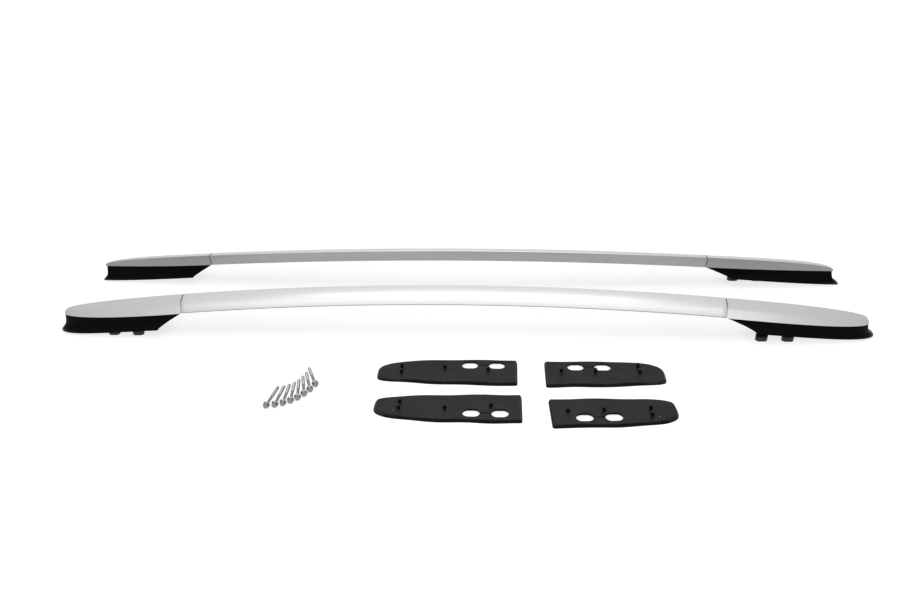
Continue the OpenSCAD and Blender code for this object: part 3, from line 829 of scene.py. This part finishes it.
class SIDERAILS_OT_gaskets(bpy.types.Operator):
    """Smooth the four gaskets and give them their rubber"""

    bl_idname = "side_rails.gaskets"
    bl_label = "Gaskets"

    # Shares of the corner radius at which the plate is cut across, so that its corners can bend.
    corner_cuts = (0.1, 0.25, 0.5, 0.75, 1.0)
    # Half of the width in which only the slit has vertices, and the distance within which vertices share a peg.
    slit_reach = 1.5 * MM
    peg_reach = 7 * MM
    # How far the waves of the two long edges are out of step, in radians.
    out_of_step = 1.7

    def execute(self, context):
        own = context.scene.rail_gasket
        for side, end in CORNERS:
            node = f"{side}_{end}_gasket"
            piece = copy_of(node, f"{node}_rubber")
            first, second = self.holes(f"{node}_hole")
            self.round_corners(piece, own, (second - first).normalized())
            smooth_form(piece, own.crease, own.levels)
            self.widen_slit(piece, own, first, second)
            self.grow_pegs(piece, own)
            self.draw_in(piece, own)
            dress(piece, rubber_finish(), "gasket_rubber", node)
            # Painted shade on the gasket's side walls.
            finish_faces(piece, gasket_edge_shade_finish(), lambda face: abs(face.normal.z) < GASKET_EDGE)
        return {"FINISHED"}

    def holes(self, name):
        """The middles of a gasket's two bolt holes, the one nearer its nose first."""
        boxes = [e["box_m"] for e in frame["record"]["physics"]["openings"] if e["name"].startswith(name)]
        return [(Vector(low) + Vector(high)).xy / 2 for low, high in boxes]

    def round_corners(self, piece, own, along):
        """Rounds the two corners at the inner end, which the line of the bolt holes points to."""
        across = Vector((-along.y, along.x))
        end = max(v.co.xy.dot(along) for v in piece.data.vertices)
        only(piece)
        for part in self.corner_cuts:
            edit()
            bpy.ops.mesh.bisect(
                plane_co=(along * (end - part * own.corner)).to_3d(), plane_no=along.to_3d(), use_fill=False
            )
            leave_edit()
        near = [v for v in piece.data.vertices if end - v.co.xy.dot(along) < own.corner]
        sides = [v.co.xy.dot(across) for v in near]
        middle, half = (min(sides) + max(sides)) / 2, (max(sides) - min(sides)) / 2
        for v in near:
            left = max(own.corner - (end - v.co.xy.dot(along)), 0)
            pull = own.corner - math.sqrt(max(own.corner ** 2 - left ** 2, 0))
            aside = (v.co.xy.dot(across) - middle) / half
            v.co.xy -= across * pull * math.copysign(aside ** 4, aside)

    def widen_slit(self, piece, own, first, second):
        """Opens the slit between the two bolt holes a little further."""
        along = (second - first).normalized()
        across = Vector((-along.y, along.x))
        for v in piece.data.vertices:
            away = v.co.xy - first
            aside = away.dot(across)
            if 0 < away.dot(along) < (second - first).length and abs(aside) < self.slit_reach:
                v.co.xy += across * math.copysign(own.slit_more, aside)

    def grow_pegs(self, piece, own):
        """Makes the locating pegs about as stout as the real ones, each about its own middle."""
        pegs = []
        for v in piece.data.vertices:
            if v.co.z < own.plate + MM / 2:
                continue
            near = [peg for peg in pegs if (peg[0].co.xy - v.co.xy).length < self.peg_reach]
            if near:
                near[0].append(v)
            else:
                pegs.append([v])
        for peg in pegs:
            middle = sum((v.co.xy for v in peg), Vector((0, 0))) / len(peg)
            for v in peg:
                v.co.xy = middle + (v.co.xy - middle) * own.peg_spread
                v.co.z = own.plate + (v.co.z - own.plate) * own.peg_lift

    def draw_in(self, piece, own):
        """Draws the soft outline in by a gentle wave along the gasket."""
        middle = sum(v.co.y for v in piece.data.vertices) / len(piece.data.vertices)
        for v in piece.data.vertices:
            phase = 2 * math.pi * v.co.x / own.wave_length + (self.out_of_step if v.co.y > middle else 0)
            v.co.y = middle + (v.co.y - middle) * (1 - own.wave * (1 + math.sin(phase)) / 2)


BOLT_COUNT = 8
# Where the first and the last bolt's heads lie, how far the fan bulges between them, and their turns in degrees.
FAN_FIRST = Vector((-0.349, -0.233685))
FAN_LAST = Vector((-0.270, -0.165685))
FAN_BULGE = Vector((0.009, -0.014))
FAN_TURNS = (-97, -66)


class SIDERAILS_OT_bolts(bpy.types.Operator):
    """Turn one threaded flange bolt and lay eight copies of it in a fan"""

    bl_idname = "side_rails.bolts"
    bl_label = "Bolts"

    # Rings along one turn of the thread, and faces round it.
    rings_a_turn = 6
    segments = 24
    # The pointed tip: its length over the thread's diameter, and its flat's radius and its taper over the thread's.
    tip_length = 0.2
    tip_flat = 0.6
    tip_taper = 0.3
    # The thread's flanks: how steep they are, and how much of their top is cut flat as a crest.
    steepness = 1.25
    crest = 0.15
    run_out = 0.8 * MM
    # The shank's fillet and soft corners, and the flange's rim and cone.
    fillet = 0.4 * MM
    soft = 0.3 * MM
    rim = 1.6 * MM
    cone = 1.0 * MM
    # The hexagon: where it starts above the flange's face, its edges, and the cone that turns off its corners.
    sunk = 0.8 * MM
    hex_edge = 0.25 * MM
    turned_slope = 1.9
    turned_top = 0.96

    def execute(self, context):
        own = context.scene.rail_bolt
        first = self.shank(own)
        head = self.hex_head(own)
        only(first)
        head.select_set(True)
        bpy.ops.object.join()
        copies = []
        for k in range(BOLT_COUNT):
            copy = new_piece(f"bolt_{k + 1}", first.data.copy())
            copy.data.transform(self.laid(own, k))
            copies.append(copy)
        bpy.data.objects.remove(first)
        only(copies[0])
        for copy in copies:
            copy.select_set(True)
        bpy.ops.object.join()
        copies[0].name = "mounting_bolts_threaded"
        shade(copies[0], own.crease)
        dress(copies[0], zinc_finish(), "zinc_plate", "mounting_bolts")
        return {"FINISHED"}

    def laid(self, own, k):
        """Where a bolt lies: its flange's edge and its tip rest on the floor."""
        f = k / (BOLT_COUNT - 1)
        tilt = math.asin((own.flange - own.diameter) / 2 / (own.reach - own.diameter / 2))
        head = FAN_FIRST.lerp(FAN_LAST, f) + 4 * f * (1 - f) * FAN_BULGE
        turn = math.radians(FAN_TURNS[0] + (FAN_TURNS[1] - FAN_TURNS[0]) * f)
        return (
            Matrix.Translation((head.x, head.y, own.flange / 2 * math.cos(tilt)))
            @ Matrix.Rotation(turn, 4, "Z")
            @ Matrix.Rotation(-tilt, 4, "Y")
            @ Matrix.Translation((-own.reach, 0, 0))
        )

    def shank(self, own):
        """The round parts, spun from their outline about X, with the thread's turns pushed in."""
        r, core = own.diameter / 2, own.diameter / 2 - own.depth
        count = round(own.threaded / own.pitch * self.rings_a_turn)
        start = own.diameter * self.tip_length
        neck, wide, top = core + self.soft, own.flange / 2, own.reach + self.rim
        outline = [(0, 0), (0, r * self.tip_flat)]
        outline += [(start + (own.threaded - start) * i / count, r) for i in range(count + 1)]
        outline += [
            (own.threaded + self.run_out, neck), (own.reach - self.fillet, neck),
            (own.reach, neck + self.fillet), (own.reach, wide - self.soft),
            (own.reach + self.soft, wide), (top - self.soft, wide),
            (top, wide - self.fillet), (top + self.cone, own.flats / 2),
            (top + self.cone, 0),
        ]
        piece = new_piece("bolt")
        shape = bmesh.new()
        points = [shape.verts.new((x, 0, z)) for x, z in outline]
        for a, b in zip(points, points[1:]):
            shape.edges.new((a, b))
        shape.to_mesh(piece.data)
        shape.free()
        edit()
        bpy.ops.mesh.spin(steps=self.segments, dupli=False, angle=2 * math.pi, center=(0, 0, 0), axis=X_AXIS)
        bpy.ops.mesh.select_all(action="SELECT")
        bpy.ops.mesh.remove_doubles(threshold=10 * MERGE)
        bpy.ops.mesh.normals_make_consistent(inside=False)
        leave_edit()
        for v in piece.data.vertices:
            round_r = math.hypot(v.co.y, v.co.z)
            if v.co.x < own.threaded + MERGE and abs(round_r - r) < 20 * MERGE:
                fade = min(1, (own.threaded - v.co.x) / own.pitch)
                lead = max(0, 1 - (v.co.x - start) / own.pitch)
                phase = (v.co.x / own.pitch - math.atan2(v.co.z, v.co.y) / (2 * math.pi)) % 1
                cut = own.depth * max(abs(2 * phase - 1) * self.steepness - self.crest, 0) * fade
                narrowed = (r - cut) * (1 - self.tip_taper * lead) / round_r
                v.co.y *= narrowed
                v.co.z *= narrowed
        return piece

    def hex_head(self, own):
        """The six-sided head: its upper corners are turned off by a cone."""
        low, high = own.reach + self.sunk, own.reach + own.head
        bpy.ops.mesh.primitive_cylinder_add(
            vertices=6, radius=own.flats / 2 / math.cos(math.pi / 6), depth=high - low,
            location=((low + high) / 2, 0, 0), rotation=(0, math.pi / 2, 0),
        )
        piece = bpy.context.object
        bpy.ops.object.transform_apply(location=True, rotation=True, scale=True)
        break_edges(piece, self.hex_edge)
        bpy.ops.mesh.primitive_cone_add(
            vertices=2 * self.segments, radius1=own.flats / 2 + own.head * self.turned_slope,
            radius2=own.flats / 2 * self.turned_top, depth=own.head,
            location=(high - own.head / 2, 0, 0), rotation=(0, math.pi / 2, 0),
        )
        cutter = bpy.context.object
        bpy.ops.object.transform_apply(location=True, rotation=True, scale=True)
        add_modifier(piece, "BOOLEAN", operation="INTERSECT", object=cutter, solver="EXACT")
        bpy.data.objects.remove(cutter)
        only(piece)
        return piece


class SIDERAILS_PT_panel(bpy.types.Panel):
    """Lists the operators in the order in which they run"""

    bl_idname = "SIDERAILS_PT_panel"
    bl_label = "Side Rails"
    bl_space_type = "VIEW_3D"
    bl_region_type = "UI"
    bl_category = "Side Rails"

    def draw(self, context):
        for step in STEPS:
            self.layout.operator(step.bl_idname)


SETTINGS = {
    "rail_bar": BarSettings,
    "rail_cap": CapSettings,
    "rail_foot": FootSettings,
    "rail_joint": JointSettings,
    "rail_gasket": GasketSettings,
    "rail_bolt": BoltSettings,
    "rail_stage": StageSettings,
}
STEPS = (
    SIDERAILS_OT_stage,
    SIDERAILS_OT_bars,
    SIDERAILS_OT_caps,
    SIDERAILS_OT_feet,
    SIDERAILS_OT_joints,
    SIDERAILS_OT_gaskets,
    SIDERAILS_OT_bolts,
)


def register():
    for cls in (*SETTINGS.values(), *STEPS, SIDERAILS_PT_panel):
        bpy.utils.register_class(cls)
    for name, cls in SETTINGS.items():
        setattr(bpy.types.Scene, name, PointerProperty(type=cls))


def unregister():
    for name in SETTINGS:
        delattr(bpy.types.Scene, name)
    for cls in reversed((*SETTINGS.values(), *STEPS, SIDERAILS_PT_panel)):
        bpy.utils.unregister_class(cls)


def main():
    """Runs the steps in order."""
    register()
    bpy.ops.side_rails.stage()
    bpy.ops.side_rails.bars()
    bpy.ops.side_rails.caps()
    bpy.ops.side_rails.feet()
    bpy.ops.side_rails.joints()
    bpy.ops.side_rails.gaskets()
    bpy.ops.side_rails.bolts()
    deselect()


if __name__ == "__main__":
    main()
